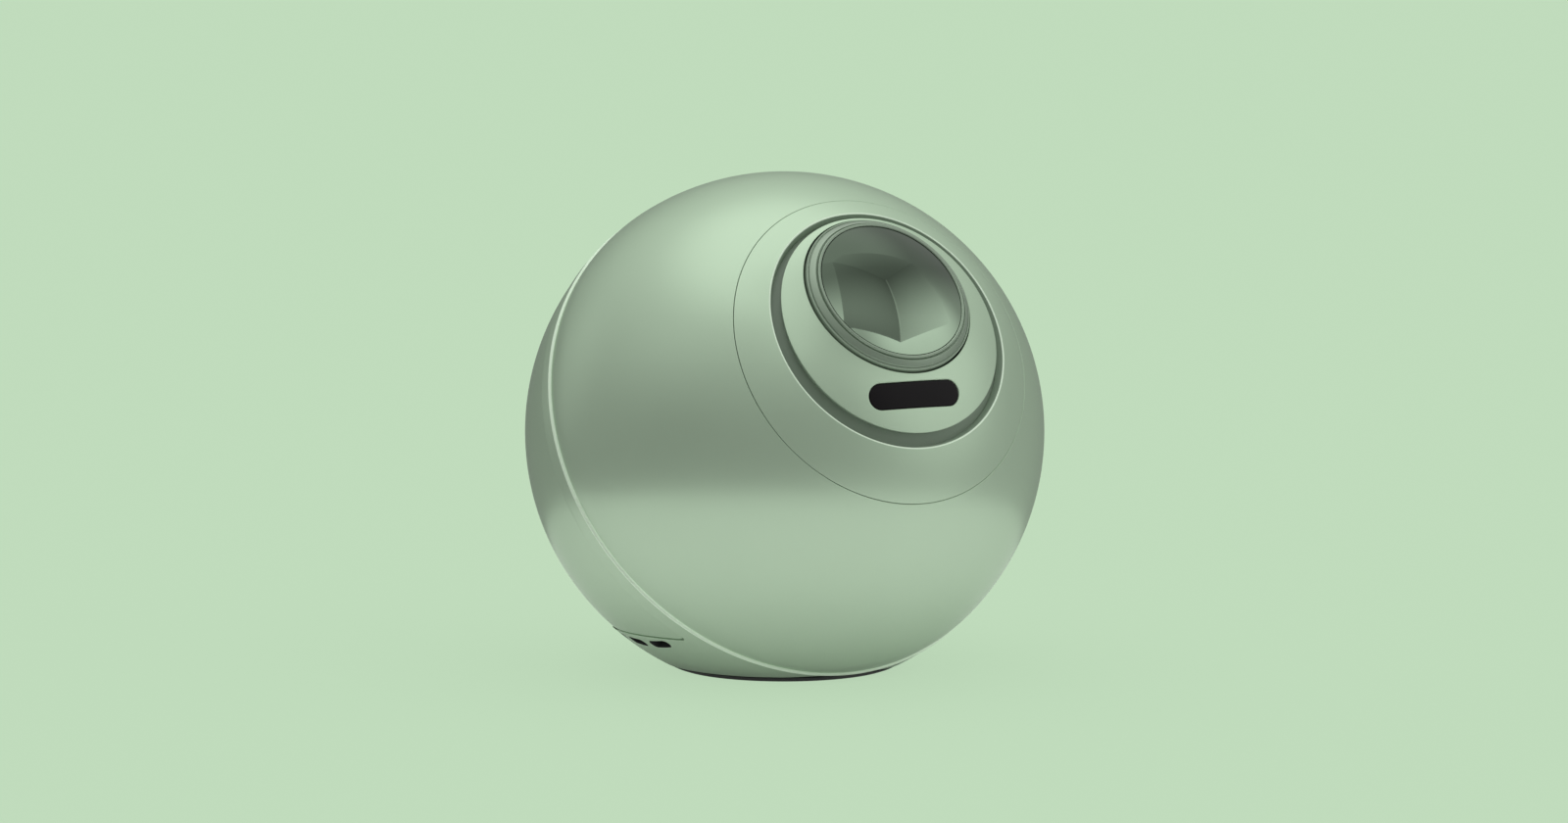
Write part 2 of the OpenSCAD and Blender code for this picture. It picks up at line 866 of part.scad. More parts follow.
module port_board() color(board_green)
    look(port_tilt, port_turn) {
        translate([-20, 1.7, 55]) cube([40, 1, 11.8]);
        translate([-6, 2.7, 57]) cube([12, 2, 4]);
    }

module usb_c_ports() color(steel)
    intersection() {
        ball(cover_in_r - 0.1);
        look(port_tilt, port_turn)
            for (i = [-1 : 1])
                translate([i * port_pitch, 0, 0]) {
                    difference() {
                        pill(port_w - 0.2, port_h - 0.2, 64.4, 74);
                        pill(port_w - 0.9, port_h - 0.9, 65.2, 75);
                    }
                    block([6.6, 0.7, 6], 65);
                }
    }

// ---------------------------------------------------------------- base

module base_plate() color(graphite)
    difference() {
        translate([0, 0, 0.6]) cylinder(r = base_plate_r, h = foot_h - 0.6);
        for (angle = [45 : 90 : 315])
            rotate([0, 0, angle]) translate([base_screw_r, 0, 0]) {
                cylinder(r = 1.2, h = 5);
                translate([0, 0, -0.4]) cylinder(r = 2.2, h = 1.5);
            }
    }

module foot_ring() color(graphite)
    rotate_extrude()
    polygon([
        [foot_in_r, 0], [foot_edge(0) - 0.5, 0], [foot_edge(0.5), 0.5],
        [foot_edge(foot_h), foot_h], [foot_in_r, foot_h]
    ]);

module base_screws() color(steel)
    for (angle = [45 : 90 : 315])
        rotate([0, 0, angle]) translate([base_screw_r, 0, 1.1]) screw(2, 0.7, 1, 2.8);

// ---------------------------------------------------------------- the assembly

front_shell();
trim_ring();
face_plate();
light_ring();
light_board();
lens_bezel();
front_lens();
focus_barrel();
inner_lens();
lens_housing();
focus_ring();
focus_motor();
motor_pinion();
sensor_window();
sensor_board();
engine_housing();
engine_cover();
engine_prism();
imager_board();
led_board();
condenser_lens();
heat_sink();
fan_frame();
fan_rotor();
bracket_left();
bracket_right();
engine_screws();
chassis_plate();
main_board();
board_shield();
board_standoffs();
board_screws();
wifi_antenna();
battery_cells();
battery_cradle();
rear_shell();
rear_cover();
speaker_grille();
shell_screws();
speaker_basket();
speaker_magnet();
speaker_cone();
voice_coil();
dust_cap();
speaker_surround();
speaker_spider();
speaker_gasket();
speaker_chamber();
speaker_screws();
power_button();
volume_up_button();
volume_down_button();
button_board();
port_board();
usb_c_ports();
base_plate();
foot_ring();
base_screws();
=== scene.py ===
"""The looks of a ball-shaped smart speaker with a projection lens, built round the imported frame.

Everything is in metres, in the frame's own axes: -Y is the front and +Z is up.
The painted shells are patches of one ball, so most outlines are given as directions out of its centre.
"""
import json
import math

import bmesh
import bpy
import numpy as np
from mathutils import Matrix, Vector
from mathutils.geometry import delaunay_2d_cdt


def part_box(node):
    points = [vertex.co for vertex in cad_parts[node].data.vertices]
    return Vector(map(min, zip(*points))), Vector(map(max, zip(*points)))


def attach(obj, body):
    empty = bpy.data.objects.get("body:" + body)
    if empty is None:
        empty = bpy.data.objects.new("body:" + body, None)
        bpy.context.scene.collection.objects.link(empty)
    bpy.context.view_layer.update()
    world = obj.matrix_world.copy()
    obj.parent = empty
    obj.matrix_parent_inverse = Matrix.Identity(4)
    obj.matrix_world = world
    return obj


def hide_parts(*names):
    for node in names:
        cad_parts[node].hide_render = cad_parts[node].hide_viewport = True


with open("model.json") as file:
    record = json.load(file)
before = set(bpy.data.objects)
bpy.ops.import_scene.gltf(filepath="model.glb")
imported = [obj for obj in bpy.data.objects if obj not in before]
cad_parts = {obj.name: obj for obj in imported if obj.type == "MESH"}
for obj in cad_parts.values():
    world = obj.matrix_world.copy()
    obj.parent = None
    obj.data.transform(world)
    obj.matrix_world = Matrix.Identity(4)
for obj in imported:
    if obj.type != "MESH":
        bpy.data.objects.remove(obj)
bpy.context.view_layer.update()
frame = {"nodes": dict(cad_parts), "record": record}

MM = 0.001
rad = math.radians

# ---------------------------------------------------------------- design values

ball_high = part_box("front_shell")[1]
BALL_R = round(ball_high.x, 4)
CENTRE = np.array((0.0, 0.0, round(ball_high.z, 4) - BALL_R))

BODY_TILT = rad(28)
RING_ANGLE = rad(38)
RIM_TILT, RIM_ANGLE = rad(31.3), rad(29.1)
FACE_TILT, FACE_ANGLE = rad(32), rad(26.7)
LENS_TILT = rad(38)
WINDOW_TILT, WINDOW_TURN, WINDOW_W, WINDOW_H = rad(13.5), rad(-1), 28.8 * MM, 7.2 * MM
COVER_LOW_TILT, COVER_LOW_LEAN = rad(-47.4), rad(2)
BUTTON_TILT, BUTTON_SPACING, BUTTON_R = rad(38), 13 * MM, 4 * MM
BUTTON_STEM_R, MIC_HOLE_R = 2.4 * MM, 0.6 * MM
PORT_TURN, PORT_TILT, PORT_PITCH = rad(-92), rad(-50.5), 12 * MM
PORT_W, PORT_H = 9.2 * MM, 3.3 * MM
VENT_TURNS = [rad(130 + 4 * i) for i in range(5)]
VENT_LENGTH, VENT_WIDTH = 25 * MM, 1.8 * MM
BAND_WIDTH = 4.6 * MM
GRILLE_R, GRILLE_PITCH, GRILLE_HOLE_R = 27 * MM, 4 * MM, 1.05 * MM
GRILLE_BORDER = 1.8 * MM
SPEAKER_OPENING_R = 26.5 * MM
GAP = 0.15 * MM

BAND_R = BALL_R - 0.15 * MM        # rear shell's band beside the seam
COVER_R = BALL_R - 0.4 * MM        # rear cover and grille
SHELL_WALL, BAND_WALL = 2.6 * MM, 2.2 * MM
COVER_WALL = 1.9 * MM
GROOVE_R, GUIDE_WALL = BALL_R - 2.7 * MM, 2 * MM      # floor of the groove round the face plate
UNDER_R, UNDER_WALL = BALL_R - 2.4 * MM, 1.9 * MM     # rear shell beneath the cover
WINDOW_SINK, WINDOW_WALL = 0.2 * MM, 1.75 * MM
BUTTON_SINK, BUTTON_WALL = 0.05 * MM, 1.45 * MM
BEZEL_R, BEZEL_GAP = 25.1 * MM, 0.5 * MM
BEZEL_BORE_R, BEZEL_LIP_R = 22.3 * MM, 21.55 * MM
BEZEL_LOW, BEZEL_STEP, BEZEL_RIM, BEZEL_TOP = 63.5 * MM, 69.6 * MM, 71.3 * MM, 73.6 * MM
LENS_R, LENS_EDGE, LENS_APEX = 21.4 * MM, 73.4 * MM, 77.9 * MM
LENS_BACK, LENS_HOLLOW, HOLLOW_R, HOLLOW_DROP = 68 * MM, 71.4 * MM, 20 * MM, 3.5 * MM
FOOT_TOP, FOOT_IN_R = 1.65 * MM, 25.3 * MM

# ---------------------------------------------------------------- directions and outlines


def look(tilt, turn=0.0):
    """Columns right, up and out: out leaves the ball's centre, raised by tilt, turned from the front."""
    ct, st = math.cos(tilt), math.sin(tilt)
    ca, sa = math.cos(turn), math.sin(turn)
    return np.array(((ca, -sa * st, sa * ct), (sa, ca * st, -ca * ct), (0, ct, st)))


BODY, LENS, FACE, RIM = look(BODY_TILT), look(LENS_TILT), look(FACE_TILT), look(RIM_TILT)
WINDOW, BACK = look(WINDOW_TILT, WINDOW_TURN), look(0, math.pi)
BUTTONS, PORTS = look(BUTTON_TILT, math.pi), look(PORT_TILT, PORT_TURN)


def unit(v):
    return v / np.linalg.norm(v, axis=-1, keepdims=True)


def circle(view, angle, steps=256):
    """Directions round a circle of that angular radius, counter-clockwise seen from outside."""
    phi = np.linspace(0, 2 * math.pi, steps, endpoint=False)[:, None]
    right, up, out = view.T
    return math.cos(angle) * out + math.sin(angle) * (np.cos(phi) * right + np.sin(phi) * up)


def flat_outline(view, points, radius):
    """Directions of an outline drawn on the plane across out and carried straight to the ball."""
    xy = np.asarray(points)
    z = np.sqrt(radius**2 - (xy**2).sum(1))
    return unit(xy[:, :1] * view[:, 0] + xy[:, 1:] * view[:, 1] + z[:, None] * view[:, 2])


def pill(width, height, steps=20, centre=(0, 0), upright=False):
    """Outline of a bar with round ends, counter-clockwise."""
    reach, r = (width - height) / 2, height / 2
    points = []
    for side, start in ((1, -90), (-1, 90)):
        for a in np.radians(np.linspace(start, start + 180, steps)):
            points.append((side * reach + r * math.cos(a), r * math.sin(a)))
    points = thicken(np.array(points), 0.6 * MM)
    if upright:
        points = np.stack((-points[:, 1], points[:, 0]), 1)
    return points + centre


def thicken(points, step):
    """Adds points along long stretches of a closed outline."""
    out = []
    for a, b in zip(points, np.roll(points, -1, 0)):
        n = max(1, int(np.linalg.norm(b - a) / step))
        out += [a + (b - a) * i / n for i in range(n)]
    return np.array(out)


def disc(r, centre=(0, 0), steps=48):
    phi = np.linspace(0, 2 * math.pi, steps, endpoint=False)
    return np.stack((r * np.cos(phi), r * np.sin(phi)), 1) + centre


def arc_inside(axis, k, other, j, steps):
    """The stretch of the circle d.axis = k inside the cap d.other > j, counter-clockwise about axis."""
    across = other - (other @ axis) * axis
    size = np.linalg.norm(across)
    u = across / size
    v = np.cross(axis, u)
    q = (j - k * (other @ axis)) / (math.sqrt(1 - k * k) * size)
    half = math.acos(max(-1, min(1, q)))
    phi = np.linspace(-half, half, steps)[:, None]
    return k * axis + math.sqrt(1 - k * k) * (np.cos(phi) * u + np.sin(phi) * v)


def two_caps(axis, k, other, j, steps=220, soften=0):
    """Outline of the part of the ball that lies in both caps, with its two corners softened."""
    first = arc_inside(axis, k, other, j, steps)[:-1]
    second = arc_inside(other, j, axis, k, steps)[:-1]
    loop = unit(thicken(np.concatenate((first, second)), 0.9 * MM / BALL_R))
    for _ in range(soften):
        loop = unit((np.roll(loop, 1, 0) + 2 * loop + np.roll(loop, -1, 0)) / 4)
    return loop


# ---------------------------------------------------------------- meshes

EDGE_STEPS = 6             # faces round a border's rounded edge
EDGE_WALL_FACES = 2        # the wall and the first of them, which have the wall's material
PLAIN_ROWS = 6             # rows at the far end of across that have the patch's own material
GRID_SHARE = 0.87          # area for each grid point, in squares of the spacing
GRID_CLEAR = 0.55          # grid points keep this share of the spacing from a border
FAR_SIDE = -0.9            # the flat map can't show directions further round than this


def piece(name, points, faces, materials, body="housing", slot=None, replaces=(), indices=None,
          sharp=40):
    """A new object from points in metres, riding on a body, standing for CAD nodes."""
    mesh = bpy.data.meshes.new(name)
    mesh.from_pydata([tuple(p) for p in points], [], faces)
    for m in materials:
        mesh.materials.append(m)
    if indices is not None:
        mesh.polygons.foreach_set("material_index", indices)
    bm = bmesh.new()
    bm.from_mesh(mesh)
    bmesh.ops.remove_doubles(bm, verts=bm.verts, dist=1e-7)
    bmesh.ops.recalc_face_normals(bm, faces=bm.faces)
    bm.to_mesh(mesh)
    bm.free()
    mesh.shade_smooth()
    mesh.set_sharp_from_angle(angle=rad(sharp))
    obj = bpy.data.objects.new(name, mesh)
    bpy.context.scene.collection.objects.link(obj)
    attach(obj, body)
    if replaces:
        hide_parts(*replaces)
    return obj


def edge(loop, rounding=0.3 * MM, down=None, wall_material=0, lip_material=0, across=()):
    """One border of a patch, which lies on its left. down is the way its wall runs.

    across lists further distances from the border that get their own row of points.
    """
    return {"loop": loop, "round": rounding, "down": down, "wall": wall_material, "lip": lip_material,
            "across": across}


def hole(view, points, radius, rounding=0.25 * MM, wall_material=0):
    """A straight hole along a line of sight, as a border."""
    return edge(flat_outline(view, points, radius)[::-1], rounding, -view[:, 2], wall_material)


def border_rows(border, radius, wall):
    """Rows of points from the wall's foot, round the edge and on to the outer face."""
    d = border["loop"]
    travel = unit(np.roll(d, -1, 0) - np.roll(d, 1, 0))
    inward = unit(np.cross(d, travel))
    r = border["round"]
    rows = [(0, wall)]
    rows += [
        (r * (1 - math.cos(a)), r * (1 - math.sin(a)))
        for a in np.linspace(0, math.pi / 2, EDGE_STEPS + 1)
    ]
    rows.append((r + 0.12 * MM, 0))
    rows += [(s, 0) for s in border["across"]]
    made = []
    for across, depth in rows:
        angle = across / radius
        direction = d * math.cos(angle) + inward * math.sin(angle)
        fall = -direction if border["down"] is None else border["down"]
        made.append(direction * radius + depth * fall)
    return made


def ball_grid(count):
    """Evenly spread directions over the whole ball."""
    i = np.arange(count) + 0.5
    polar = np.arccos(1 - 2 * i / count)
    turn = math.pi * (1 + math.sqrt(5)) * i
    return np.stack((np.cos(turn) * np.sin(polar), np.sin(turn) * np.sin(polar), np.cos(polar)), 1)


def flatten(directions, middle):
    """Stereographic map about middle, which keeps circles round."""
    helper = np.array((1.0, 0, 0)) if abs(middle[0]) < 0.9 else np.array((0, 1.0, 0))
    u = unit(np.cross(middle, helper))
    v = np.cross(middle, u)
    height = 1 + directions @ middle
    return np.stack((directions @ u / height, directions @ v / height), 1)


def inside(points, loops):
    """Which points lie inside an odd number of closed loops."""
    odd = np.zeros(len(points), bool)
    x, y = points[:, 0], points[:, 1]
    for loop in loops:
        for (x0, y0), (x1, y1) in zip(loop, np.roll(loop, -1, 0)):
            crosses = (y0 > y) != (y1 > y)
            if crosses.any():
                odd[crosses] ^= x[crosses] < (x1 - x0) * (y[crosses] - y0) / (y1 - y0) + x0
    return odd


def patch(borders, radius, wall, middle, spacing, sink=None):
    """A closed curved plate: a piece of the ball inside its borders.

    sink gives how far the plate lies below the ball in each direction.
    Returns the points, the faces and each face's place in the list of materials.
    """
    rows = [border_rows(b, radius, wall) for b in borders]
    last = [unit(r[-1]) for r in rows]
    flat = [flatten(d, middle) for d in last]
    grid = ball_grid(int(4 * math.pi * radius**2 / (spacing**2 * GRID_SHARE)))
    grid = grid[grid @ middle > FAR_SIDE]
    flat_grid = flatten(grid, middle)
    keep = inside(flat_grid, flat)
    grid, flat_grid = grid[keep], flat_grid[keep]
    border_points = np.concatenate(last)
    for start in range(0, len(border_points), 64):
        some = border_points[start : start + 64]
        near = (grid @ some.T).max(1) > math.cos(GRID_CLEAR * spacing / radius)
        grid, flat_grid = grid[~near], flat_grid[~near]
    ties, first = [], 0
    for f in flat:
        n = len(f)
        ties += [(first + i, first + (i + 1) % n) for i in range(n)]
        first += n
    flat_all = np.concatenate(flat + [flat_grid])
    result = delaunay_2d_cdt([Vector(p) for p in flat_all], ties, [], 0, 1e-9, True)
    triangles = np.array([f for f in result[2] if len(f) == 3])
    source = np.array([o[0] if o else -1 for o in result[3]])
    triangles = source[triangles]
    triangles = triangles[(triangles >= 0).all(1)]
    triangles = triangles[inside(flat_all[triangles].mean(1), flat)]

    points, faces, kinds = [], [], []
    starts = []
    for r in rows:
        starts.append(len(points))
        for row in r:
            points += list(row)
    outer, inner = [], []
    for start, r in zip(starts, rows):
        n = len(r[0])
        outer += list(range(start + (len(r) - 1) * n, start + len(r) * n))
        inner += list(range(start, start + n))
    top = len(points)
    points += list(grid * radius)
    points += list(grid * (radius - wall))
    outer += list(range(top, top + len(grid)))
    inner += list(range(top + len(grid), top + 2 * len(grid)))
    outer, inner = np.array(outer), np.array(inner)
    faces += outer[triangles].tolist()
    faces += inner[triangles[:, ::-1]].tolist()
    kinds += [0] * len(faces)
    for start, r, b in zip(starts, rows, borders):
        n = len(r[0])
        lip_end = max(EDGE_STEPS + 1, len(r) - PLAIN_ROWS)
        for k in range(len(r) - 1):
            a, c = start + k * n, start + (k + 1) * n
            faces += [(a + i, a + (i + 1) % n, c + (i + 1) % n, c + i) for i in range(n)]
            kinds += [b["wall"] if k < EDGE_WALL_FACES else b["lip"] if k < lip_end else 0] * n
    points = np.array(points)
    if sink:
        directions = unit(points)
        points -= directions * sink(directions)[:, None]
    return points + CENTRE, faces, kinds


def plate(name, borders, radius, wall, middle, spacing, materials, sink=None, **about):
    points, faces, kinds = patch(borders, radius, wall, middle, spacing, sink)
    return piece(name, points, faces, materials, indices=kinds, **about)


def lathe(view, profile, steps=192, origin=CENTRE):
    """A closed outline of (radius, height) turned about the line of sight."""
    phi = np.linspace(0, 2 * math.pi, steps, endpoint=False)
    points, faces = [], []
    for r, h in profile:
        ring = np.outer(np.cos(phi), view[:, 0]) + np.outer(np.sin(phi), view[:, 1])
        points += list(origin + r * ring + h * view[:, 2])
    n = len(profile)
    for k in range(n):
        a, c = k * steps, (k + 1) % n * steps
        if profile[k][0] < 1e-7 and profile[(k + 1) % n][0] < 1e-7:
            continue
        for i in range(steps):
            j = (i + 1) % steps
            face = [a + i, a + j, c + j, c + i]
            if profile[k][0] < 1e-7:
                face = [a, c + j, c + i]
            elif profile[(k + 1) % n][0] < 1e-7:
                face = [a + i, a + j, c]
            faces.append(face)
    used = sorted({i for f in faces for i in f})
    place = {old: new for new, old in enumerate(used)}
    return [points[i] for i in used], [[place[i] for i in f] for f in faces]


def rounded(corners, steps=5):
    """An outline of (x, y, radius) corners with each corner rounded off."""
    out = []
    n = len(corners)
    for i in range(n):
        p = np.array(corners[i][:2], float)
        r = corners[i][2]
        before = np.array(corners[i - 1][:2]) - p
        after = np.array(corners[(i + 1) % n][:2]) - p
        if r <= 0:
            out.append(tuple(p))
            continue
        a, b = unit(before), unit(after)
        half = math.acos(max(-1, min(1, a @ b))) / 2
        reach = min(r / math.tan(half), np.linalg.norm(before) * 0.49, np.linalg.norm(after) * 0.49)
        r = reach * math.tan(half)
        middle = p + unit(a + b) * r / math.sin(half)
        start, end = p + a * reach - middle, p + b * reach - middle
        turn = math.atan2(start[0] * end[1] - start[1] * end[0], start @ end)
        for t in np.linspace(0, turn, steps + 1):
            c, s = math.cos(t), math.sin(t)
            out.append(tuple(middle + (c * start[0] - s * start[1], s * start[0] + c * start[1])))
    return out


# ---------------------------------------------------------------- materials


class Surface:
    """Builds one material node by node: soft variation of colour and gloss, grain and any pattern."""

    def __init__(self, name, metal=0.0, **sockets):
        self.mat = bpy.data.materials.new(name)
        self.mat.use_nodes = True
        self.nodes, self.links = self.mat.node_tree.nodes, self.mat.node_tree.links
        self.shader = self.nodes["Principled BSDF"]
        self.shader.inputs["Metallic"].default_value = metal
        for socket, value in sockets.items():
            self.shader.inputs[socket.replace("_", " ")].default_value = value
        self.where = self.nodes.new("ShaderNodeTexCoord").outputs["Object"]

    def stretched(self, scale):
        """Coordinates drawn out along the axes, for brushed or fibrous grain."""
        node = self.nodes.new("ShaderNodeMapping")
        node.inputs["Scale"].default_value = scale
        self.links.new(self.where, node.inputs["Vector"])
        return node.outputs["Vector"]

    def noise(self, size_mm, detail=2.0, where=None):
        node = self.nodes.new("ShaderNodeTexNoise")
        node.inputs["Scale"].default_value = 1000 / size_mm
        node.inputs["Detail"].default_value = detail
        self.links.new(where or self.where, node.inputs["Vector"])
        return node.outputs["Fac"]

    def waves(self, size_mm, axis):
        node = self.nodes.new("ShaderNodeTexWave")
        node.bands_direction = axis
        node.inputs["Scale"].default_value = 1000 / size_mm / 20 * math.pi
        node.inputs["Distortion"].default_value = 0.4
        self.links.new(self.where, node.inputs["Vector"])
        return node.outputs["Fac"]

    def steps(self, fac, low, high):
        """A sharp mask from a smooth field."""
        node = self.nodes.new("ShaderNodeMapRange")
        node.interpolation_type = "SMOOTHSTEP"
        node.inputs["From Min"].default_value = low
        node.inputs["From Max"].default_value = high
        self.links.new(fac, node.inputs["Value"])
        return node.outputs["Result"]

    def blend(self, fac, a, b):
        """A colour between a and b, each a colour or another node's output."""
        node = self.nodes.new("ShaderNodeMix")
        node.data_type = "RGBA"
        self.links.new(fac, node.inputs["Factor"])
        for socket, value in (("A", a), ("B", b)):
            if isinstance(value, tuple):
                node.inputs[socket].default_value = (*value, 1)
            else:
                self.links.new(value, node.inputs[socket])
        return node.outputs["Result"]

    def tinted(self, colour, vary, fac):
        dark = tuple(c * (1 - vary) for c in colour)
        light = tuple(min(1, c * (1 + vary)) for c in colour)
        return self.blend(fac, dark, light)

    def finish(self, colour, rough, rough_vary, height, depth_mm, rough_fac):
        self.links.new(colour, self.shader.inputs["Base Color"])
        spread = self.nodes.new("ShaderNodeMapRange")
        spread.inputs["To Min"].default_value = max(0.0, rough - rough_vary)
        spread.inputs["To Max"].default_value = rough + rough_vary
        self.links.new(rough_fac, spread.inputs["Value"])
        self.links.new(spread.outputs["Result"], self.shader.inputs["Roughness"])
        if depth_mm:
            bump = self.nodes.new("ShaderNodeBump")
            bump.inputs["Distance"].default_value = depth_mm * MM
            self.links.new(height, bump.inputs["Height"])
            self.links.new(bump.outputs["Normal"], self.shader.inputs["Normal"])
        return self.mat


def plain(name, colour, rough, metal=0.0, vary=0.05, patch_mm=18.0, grain_mm=0.5, grain=0.02,
          rough_vary=0.05, stretch=None, **sockets):
    """Paint, moulded plastic, rubber or metal. stretch draws the grain out along the axes."""
    s = Surface(name, metal, **sockets)
    grain_field = s.noise(grain_mm, 2.0, s.stretched(stretch) if stretch else None)
    colour = s.tinted(colour, vary, s.noise(patch_mm))
    return s.finish(colour, rough, rough_vary, grain_field, grain, s.noise(patch_mm / 3, 3.0))


def circuit(name):
    """Solder mask with tinned pads, copper tracks under the mask and pale legend patches."""
    s = Surface(name, Coat_Weight=0.4, Coat_Roughness=0.12)
    tracks = s.steps(s.waves(1.3, "DIAGONAL"), 0.62, 0.7)
    mask = s.blend(tracks, (0.018, 0.085, 0.035), (0.035, 0.16, 0.06))
    pads = s.steps(s.noise(1.6, 0.0), 0.66, 0.68)
    colour = s.blend(pads, mask, (0.55, 0.56, 0.52))
    return s.finish(colour, 0.35, 0.08, tracks, 0.03, s.noise(3))


def woven(name, light, dark, pitch_mm):
    """Plain woven cloth seen along Y."""
    s = Surface(name, Sheen_Weight=0.3)
    across, along = s.waves(pitch_mm, "X"), s.waves(pitch_mm, "Z")
    colour = s.blend(s.blend(across, dark, light), dark, light)
    threads = s.nodes.new("ShaderNodeMath")
    threads.operation = "MAXIMUM"
    s.links.new(across, threads.inputs[0])
    s.links.new(along, threads.inputs[1])
    s.links.new(threads.outputs[0], colour.node.inputs["Factor"])
    return s.finish(colour, 0.85, 0.08, threads.outputs[0], 0.08, s.noise(5))


REFLECTION_BRIGHT_BELOW, REFLECTION_DARK_ABOVE = 13, 6    # mm below and above the glass's middle: the painted reflection is brightest below and darkest above


def glass_painted_reflection(name, low, high):
    """Dark glass with a mirror finish whose painted reflection is bright low down and fades to dark
    towards its upper edge.
    """
    s = Surface(name, metal=1.0)
    up_glass = s.nodes.new("ShaderNodeVectorMath")
    up_glass.operation = "DOT_PRODUCT"
    s.links.new(s.where, up_glass.inputs[0])
    up_glass.inputs[1].default_value = tuple(LENS[:, 1])
    middle = CENTRE @ LENS[:, 1]
    painted_reflection_fade = s.steps(up_glass.outputs["Value"], middle - REFLECTION_BRIGHT_BELOW * MM, middle + REFLECTION_DARK_ABOVE * MM)
    colour = s.blend(painted_reflection_fade, s.tinted(low, 0.03, s.noise(9)), s.tinted(high, 0.03, s.noise(9)))
    return s.finish(colour, 0.035, 0.012, painted_reflection_fade, 0, s.noise(6))


SAGE = (0.50, 0.655, 0.48)

paint = plain("satin_paint", SAGE, 0.29, metal=0.5, vary=0.012, grain_mm=0.8, grain=0.0012,
              rough_vary=0.02, Specular_IOR_Level=0.3, Specular_Tint=(0.72, 0.86, 0.70, 1))
# painted highlight: a paler, whiter paint on the rounded lips of the seam and the groove's rim, standing
# in for the light they catch
painted_highlight_edge = plain("painted_highlight_edge", (0.80, 0.97, 0.77), 0.45, metal=0.2, vary=0.02, grain_mm=0.5,
                    grain=0.001)
bezel_paint = plain("bezel_paint", (0.305, 0.395, 0.295), 0.3, metal=0.5, vary=0.012, grain_mm=0.6,
                    grain=0.0015, rough_vary=0.03)
groove_plastic = plain("groove_plastic", (0.235, 0.31, 0.228), 0.5, vary=0.03, grain_mm=0.4, grain=0.006)
# painted shade: the painted walls in the groove and round the bezel take this darker colour instead of
# the paint
groove_wall_shade = plain("groove_wall_shade", (0.32, 0.42, 0.312), 0.5, vary=0.03, grain_mm=0.4, grain=0.006)
grille_plastic = plain("grille_plastic", (0.27, 0.36, 0.265), 0.42, vary=0.04, grain_mm=0.35, grain=0.01)
# the lens glass's mirror colour is a painted reflection, bright below and dark above
glass = glass_painted_reflection("lens_glass", (0.345, 0.455, 0.335), (0.084, 0.112, 0.082))
inner_glass = plain("inner_glass", (0.75, 0.85, 0.78), 0.02, vary=0.01, grain=0, rough_vary=0.005,
                    Transmission_Weight=0.9, IOR=1.5)
acrylic = plain("window_acrylic", (0.006, 0.005, 0.0055), 0.06, vary=0.1, grain=0, rough_vary=0.02,
                IOR=1.33, Specular_IOR_Level=0.25)
black = plain("black_plastic", (0.022, 0.025, 0.023), 0.45, grain_mm=0.3, grain=0.015)
cast = plain("black_anodised", (0.05, 0.054, 0.05), 0.42, metal=0.6, vary=0.12, patch_mm=8,
             grain_mm=0.25, grain=0.03)
rubber = plain("foot_rubber", (0.030, 0.036, 0.030), 0.7, vary=0.1, grain_mm=0.25, grain=0.03,
               Sheen_Weight=0.1)
paper = plain("pressed_pulp", (0.035, 0.035, 0.034), 0.8, vary=0.25, patch_mm=3, grain_mm=0.5,
              grain=0.06, stretch=(1, 3, 1))
copper = plain("enamelled_copper", (0.62, 0.27, 0.12), 0.25, metal=0.9, vary=0.12, patch_mm=2,
               grain_mm=0.2, grain=0.02, stretch=(0.2, 8, 0.2))
steel = plain("zinc_steel", (0.56, 0.58, 0.57), 0.33, metal=1.0, vary=0.08, patch_mm=6,
              grain_mm=0.4, grain=0.006, stretch=(0.12, 1, 1))
turned_brass = plain("turned_brass", (0.66, 0.48, 0.20), 0.28, metal=1.0, vary=0.08, patch_mm=3,
                     grain_mm=0.3, grain=0.006, stretch=(1, 1, 0.15))
aluminium = plain("extruded_aluminium", (0.68, 0.70, 0.70), 0.36, metal=1.0, vary=0.06, patch_mm=7,
                  grain_mm=0.4, grain=0.008, stretch=(1, 0.1, 0.1))
magnet = plain("black_zinc", (0.09, 0.095, 0.09), 0.4, metal=0.8, vary=0.15, patch_mm=5,
               grain_mm=0.3, grain=0.02)
screw_steel = plain("black_screw", (0.16, 0.165, 0.16), 0.36, metal=0.9, vary=0.15, patch_mm=1.2,
                    grain_mm=0.2, grain=0.01)
sleeve = plain("shrink_sleeve", (0.05, 0.16, 0.33), 0.28, vary=0.08, patch_mm=10, grain_mm=1.2,
               grain=0.03, Coat_Weight=0.3)
board = circuit("circuit_board")
cloth = woven("doped_cloth", (0.42, 0.28, 0.10), (0.26, 0.16, 0.05), 0.7)

SLOT_MATERIALS = {
    "shell": paint, "bezel": bezel_paint, "diffuser": groove_plastic, "lens_glass": inner_glass,
    "window": acrylic, "button": paint, "grille": grille_plastic, "black_plastic": black,
    "die_cast": cast, "rubber": rubber, "paper_cone": paper, "spider_cloth": cloth, "copper": copper,
    "steel": steel, "brass": turned_brass, "aluminium": aluminium, "magnet": magnet,
    "screw": screw_steel, "board": board, "battery": sleeve,
}
for part in frame["record"]["subparts"]:
    # the USB sockets get black zinc instead of their own metal, painted shade inside the port openings
    port_painted_shade = part["node"] == "usb_c_ports"
    for place in frame["nodes"][part["node"]].material_slots:
        place.material = magnet if port_painted_shade else SLOT_MATERIALS[part["material_slot"]]

# ---------------------------------------------------------------- painted shells

behind = -BODY[:, 2]
above = np.array((0.0, 0, 1))


def height(z):
    """A level, as a share of the ball's radius above its centre."""
    return (z - CENTRE[2]) / BALL_R


